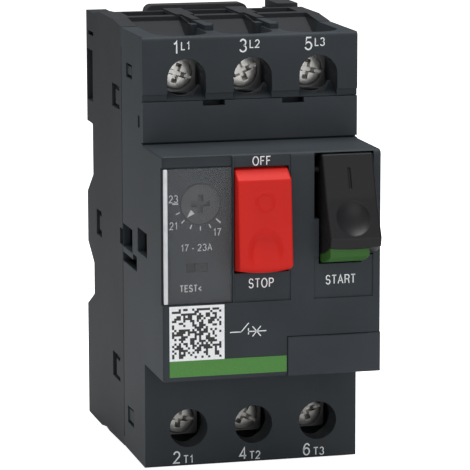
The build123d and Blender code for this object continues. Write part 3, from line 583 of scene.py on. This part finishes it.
def start_relief(x, z, along):
    """The round dish and the sunk line of the START button."""
    reach = math.hypot(x - dish_centre[0], (z - dish_centre[1]) / 0.93) / dish_radius
    depth = 0.95 * (1 - min(reach, 1) ** 2) ** 0.75 if z > 5.5 else 0
    if 15.4 < z < 19.4 and along < 12:
        depth += 0.3 * (1 - ease(abs(x - 15.3), 0.12, 0.3))
    return depth


start_outline = rounded([(-67.4, 22.2), (-69.3, 22.06), (-72.35, 13.5), (-76.0, 6.06), (-75.6, 4.3)],
                        [0, 0.3, 9.0, 0.75, 0])
start_outline += shaft_arc(17.25, 32, -3)
black_plastic = moulded_plastic("button_black", (0.012, 0.012, 0.013), 0.42, 7000, 0.00002, 0.0002,
                                0.05, 0.25)
start_back = (Vector((-65.3, 21.4)), Vector((-65.3, 2.2)))
mesh = rocker(start_outline, start_back, start_left, start_right, 0.4, start_relief, bow_to=9.0, sag=0.45)
finish_mesh("start_rocker", mesh, black_plastic, "start_button", ["start_button"],
            button_smooth_angle)


def no_relief(x, z, along):
    return 0


green_plastic = moulded_plastic("skirt_green", (0.034, 0.118, 0.02), 0.45, 7000, 0.00002, 0.00015, 0.05, 0.22)
skirt_outline = [Vector((-75.3, 4.2)), Vector((-75.45, 3.2))] + shaft_arc(18.8, 28.6, -22, 24)
skirt_back = (Vector((-74.6, 4.4)), Vector((-59.2, 2.9)))
skirt_left = 10.05
skirt_right = 18.2
mesh = rocker(skirt_outline, skirt_back, skirt_left, skirt_right, 0.25, no_relief, gap=0.4)
finish_mesh("start_skirt", mesh, green_plastic, "start_button", ["start_flank"],
            button_smooth_angle)
paint(["test_slider"], black_plastic)

# ---- Setting dial -----------------------------------------------------------------------------------
# A grey thermoplastic dial with a cross slot for the screwdriver and a white pointer, set in the
# deck behind the window. The scale is printed round it.

dial_plastic = moulded_plastic("dial_grey", (0.062, 0.066, 0.07), 0.45)
low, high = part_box("setting_dial")
dial_x = (low.x + high.x) / 2 / MM
dial_z = (low.z + high.z) / 2 / MM
dial_r = (high.x - low.x) / 2 / MM
profile = [(0, 0), (dial_r - 0.3, 0), (dial_r - 0.08, 0.08), (dial_r, 0.3), (dial_r, 3.0), (2.0, 3.0),
           (2.0, (high.y - low.y) / MM), (0, (high.y - low.y) / MM)]
blank = object_from("dial_blank", turned([(r * MM, y * MM) for r, y in profile], 64))
cutters = []
for near, far in (((0.5, 1.95), (0.42, 1.6)), ((1.95, 0.5), (1.6, 0.42))):
    mesh = bmesh.new()
    wedge_block(mesh, [v * MM for v in near], [v * MM for v in far], -0.3 * MM, 1.1 * MM)
    cutters.append(object_from("dial_cutter", mesh))
mesh = cut(blank, cutters)
bmesh.ops.translate(mesh, verts=mesh.verts, vec=(dial_x * MM, low.y, dial_z * MM))
finish_mesh("dial_knob", mesh, dial_plastic, "setting_dial", ["setting_dial"])


def print_shape(name, corners, y, body, thickness=0.02, ink=None):
    """Prints a closed (x, z) outline on a face that looks to the front, in millimetres."""
    mesh = bmesh.new()
    front = [mesh.verts.new((x * MM, (y - thickness) * MM, z * MM)) for x, z in corners]
    rear = [mesh.verts.new((x * MM, y * MM, z * MM)) for x, z in corners]
    mesh.faces.new(front)
    mesh.faces.new(rear[::-1])
    for index in range(len(corners)):
        after = (index + 1) % len(corners)
        mesh.faces.new((front[index], rear[index], rear[after], front[after]))
    bmesh.ops.recalc_face_normals(mesh, faces=mesh.faces)
    return finish_mesh(name, mesh, ink or white_ink, body)


def around_dial(radius, angle):
    """A point at an angle counted anticlockwise from the right."""
    turn = math.radians(angle)
    return dial_x + radius * math.cos(turn), dial_z + radius * math.sin(turn)


deck_front = -67.3
pointer_angle = 223
tip = around_dial(3.85, pointer_angle)
heel_left = around_dial(2.25, pointer_angle + 14)
heel_right = around_dial(2.25, pointer_angle - 14)
print_shape("dial_pointer", [tip, heel_left, heel_right], low.y / MM, "setting_dial")
tick_count = 7
for index in range(tick_count):
    angle = 178 + (316 - 178) * index / (tick_count - 1)
    half = 1.5 if index in (0, 3, tick_count - 1) else 1.2
    length = 1.2 if index in (0, 6) else 0.85
    inner = dial_r + 0.45
    corners = [around_dial(inner, angle - half), around_dial(inner, angle + half),
               around_dial(inner + length, angle + half), around_dial(inner + length, angle - half)]
    print_shape(f"dial_tick_{index + 1}", corners, deck_front, "housing")
print_text("mark_23", "23", -20.9, 13.35, 1.55, deck_front - ink_gap, 0.9)
print_text("mark_21", "21", -20.8, 7.95, 1.55, deck_front - ink_gap, 0.9)
print_text("mark_17", "17", -11.9, 6.35, 1.55, deck_front - ink_gap, 0.9)
print_text("setting_range", "17 - 23A", -18.5, 3.45, 1.45, deck_front - ink_gap, 0.95)
print_text("word_test", "TEST<", -18.75, -4.75, 1.45, deck_front - ink_gap, 0.85, 1.3)

# ---- Window ---------------------------------------------------------------------------------------
# The clear polycarbonate flap over the dial, tinted grey. Its moulded hinge barrel at the left
# edge is coloured light grey along its whole height: a painted highlight.


def slab(x0, x1, y0, y1, z0, z1, edge, segments=2):
    """A box with rounded edges, in millimetres."""
    mesh = bmesh.new()
    bmesh.ops.create_cube(mesh, size=1)
    bmesh.ops.scale(mesh, verts=mesh.verts, vec=((x1 - x0) * MM, (y1 - y0) * MM, (z1 - z0) * MM))
    middle = ((x0 + x1) / 2 * MM, (y0 + y1) / 2 * MM, (z0 + z1) / 2 * MM)
    bmesh.ops.translate(mesh, verts=mesh.verts, vec=middle)
    bmesh.ops.bevel(mesh, geom=mesh.edges[:], offset=edge * MM, segments=segments, profile=0.5,
                    affect="EDGES")
    return mesh


window_material, tree, shader = new_material("window_polycarbonate")
haze = noise(tree, 900, 2)
tint = ramp(tree, haze, 0.3, 0.7, (0.21, 0.22, 0.23), (0.225, 0.235, 0.245))
tree.links.new(tint, shader.inputs["Base Color"])
tree.links.new(span(tree, haze, 0.3, 0.36), shader.inputs["Roughness"])
shader.inputs["Alpha"].default_value = 0.17
shader.inputs["Specular IOR Level"].default_value = 0.2
low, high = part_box("dial_window")
mesh = slab(low.x / MM + 0.95, high.x / MM, low.y / MM, high.y / MM, low.z / MM, high.z / MM, 0.12)
finish_mesh("window_pane", mesh, window_material, "dial_window", ["dial_window"])
barrel_highlight_material, tree, shader = new_material("window_barrel_painted_highlight")
haze = noise(tree, 500, 3)
# light grey tint: a painted highlight on the barrel, not the clear plastic's own colour
tint = ramp(tree, haze, 0.3, 0.7, (0.62, 0.63, 0.64), (0.72, 0.73, 0.74))
tree.links.new(tint, shader.inputs["Base Color"])
tree.links.new(span(tree, haze, 0.16, 0.26), shader.inputs["Roughness"])
mesh = slab(low.x / MM + 0.05, low.x / MM + 0.9, low.y / MM, high.y / MM, low.z / MM, high.z / MM, 0.22, 3)
finish_mesh("window_barrel_painted_highlight", mesh, barrel_highlight_material, "dial_window")

# ---- Label ---------------------------------------------------------------------------------------
# A printed film label: a plain mosaic of squares on white and a plain green band. The switch
# symbol beside it is printed straight on the housing.

film_material, tree, shader = new_material("label_film")
cell = 0.46
coordinates = tree.nodes.new("ShaderNodeTexCoord")
snap = tree.nodes.new("ShaderNodeVectorMath")
snap.operation = "SNAP"
snap.inputs[1].default_value = (cell * MM, 1.0, cell * MM)
tree.links.new(coordinates.outputs["Object"], snap.inputs[0])
scatter = tree.nodes.new("ShaderNodeTexWhiteNoise")
tree.links.new(snap.outputs["Vector"], scatter.inputs["Vector"])
choose = tree.nodes.new("ShaderNodeValToRGB")
choose.color_ramp.interpolation = "CONSTANT"
choose.color_ramp.elements[0].color = (0.012, 0.012, 0.013, 1)
choose.color_ramp.elements[1].position = 0.55
choose.color_ramp.elements[1].color = (0.86, 0.87, 0.88, 1)
tree.links.new(scatter.outputs["Value"], choose.inputs["Fac"])
tree.links.new(choose.outputs["Color"], shader.inputs["Base Color"])
shader.inputs["Roughness"].default_value = 0.4
green_ink = printing_ink("green_ink", (0.062, 0.235, 0.033))
band_top = -18.4
low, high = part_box("front_label")
patch_right = -9.95
label_left = low.x / MM
label_right = high.x / MM
label_bottom = low.z / MM
label_top = high.z / MM
patch_corners = [(label_left, band_top), (patch_right, band_top), (patch_right, label_top),
                 (label_left, label_top)]
patch = print_shape("label_patch", patch_corners, nose_front - 0.03, "housing", 0.05)
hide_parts("front_label")
mosaic_left = -45 * cell
mosaic_low = -39 * cell
mosaic_right = mosaic_left + 22 * cell
mosaic_high = mosaic_low + 22 * cell
mosaic_corners = [(mosaic_left, mosaic_low), (mosaic_right, mosaic_low), (mosaic_right, mosaic_high),
                  (mosaic_left, mosaic_high)]
print_shape("label_mosaic", mosaic_corners, nose_front - 0.08, "housing", 0.01, film_material)
band_corners = [(label_left, label_bottom), (label_right, label_bottom), (label_right, band_top),
                (label_left, band_top)]
print_shape("label_band", band_corners, nose_front - 0.03, "housing", 0.05, green_ink)


def print_line(name, start, end, thick, y=nose_front):
    """Prints a straight line."""
    run = (Vector(end) - Vector(start)).normalized() * thick / 2
    side = Vector((-run.y, run.x))
    first = Vector(start) - run
    last = Vector(end) + run
    corners = [first + side, first - side, last - side, last + side]
    print_shape(name, corners, y - ink_gap, "housing", 0.01)


symbol_z = -13.1
line = 0.2
print_line("symbol_feed", (-8.7, symbol_z), (-6.5, symbol_z), line)
print_line("symbol_blade", (-6.5, symbol_z), (-5.0, symbol_z + 1.7), line)
print_line("symbol_stop", (-5.0, symbol_z - 0.5), (-5.0, symbol_z + 0.6), line)
print_line("symbol_run", (-5.0, symbol_z), (-1.4, symbol_z), line)
print_line("symbol_cross_1", (-4.1, symbol_z - 0.95), (-2.5, symbol_z + 0.95), line)
print_line("symbol_cross_2", (-4.1, symbol_z + 0.95), (-2.5, symbol_z - 0.95), line)

# ---- Floor, light and camera -----------------------------------------------------------------------
# A plain white floor and soft studio light from the front left and above.

low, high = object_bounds()
floor_mesh = bmesh.new()
bmesh.ops.create_grid(floor_mesh, x_segments=1, y_segments=1, size=3.0)
floor = object_from("floor", floor_mesh)
floor.location = (0, 0, low[2] - 0.0002)
floor_material, tree, shader = new_material("floor_white")
shader.inputs["Base Color"].default_value = (0.9, 0.9, 0.9, 1)
shader.inputs["Roughness"].default_value = 0.9
shader.inputs["Emission Color"].default_value = (1, 1, 1, 1)
seen_by = tree.nodes.new("ShaderNodeLightPath")
tree.links.new(seen_by.outputs["Is Camera Ray"], shader.inputs["Emission Strength"])
floor.data.materials.append(floor_material)

world = bpy.data.worlds.new("studio")
bpy.context.scene.world = world
world.use_nodes = True
sky = world.node_tree
surround = sky.nodes["Background"]
surround.inputs["Color"].default_value = (0.93, 0.96, 1.0, 1)
surround.inputs["Strength"].default_value = 0.21
backdrop = sky.nodes.new("ShaderNodeBackground")
backdrop.inputs["Color"].default_value = (1, 1, 1, 1)
backdrop.inputs["Strength"].default_value = 1.0
rays = sky.nodes.new("ShaderNodeLightPath")
either = sky.nodes.new("ShaderNodeMixShader")
sky.links.new(rays.outputs["Is Camera Ray"], either.inputs["Fac"])
sky.links.new(surround.outputs["Background"], either.inputs[1])
sky.links.new(backdrop.outputs["Background"], either.inputs[2])
sky.links.new(either.outputs["Shader"], sky.nodes["World Output"].inputs["Surface"])
bpy.context.scene.view_settings.view_transform = "Standard"


def softbox(name, place, target, size, power):
    """A square area light that faces a point."""
    lamp = bpy.data.lights.new(name, "AREA")
    lamp.size = size
    lamp.energy = power
    light = bpy.data.objects.new(name, lamp)
    light.location = place
    light.rotation_euler = (Vector(target) - Vector(place)).to_track_quat("-Z", "Y").to_euler()
    bpy.context.scene.collection.objects.link(light)


centre = (0, -0.03, 0)
softbox("key_light", (-0.5, -0.45, 0.45), centre, 0.35, 0.2)
softbox("front_light", (0.1, -0.8, 0.2), centre, 0.5, 1.45)
softbox("top_light", (0.0, -0.05, 0.7), centre, 0.5, 5.5)

azimuth = math.radians(-13.85)
elevation = math.radians(10.54)
roll = math.radians(-0.17)
distance = 0.643
aim = Vector((0, -0.029, -0.00655))
level = math.cos(elevation)
backward = Vector((math.sin(azimuth) * level, -math.cos(azimuth) * level, math.sin(elevation)))
camera_data = bpy.data.cameras.new("camera")
camera = bpy.data.objects.new("camera", camera_data)
bpy.context.scene.collection.objects.link(camera)
camera.location = aim + backward * distance
looking = (-backward).to_track_quat("-Z", "Y").to_matrix()
camera.rotation_euler = (looking @ Matrix.Rotation(roll, 3, "Z")).to_euler()
camera_data.sensor_width = 36
camera_data.lens = 231.8
camera_data.shift_x = 0.0213
camera_data.shift_y = 0.0596
camera_data.clip_end = 10
bpy.context.scene.camera = camera
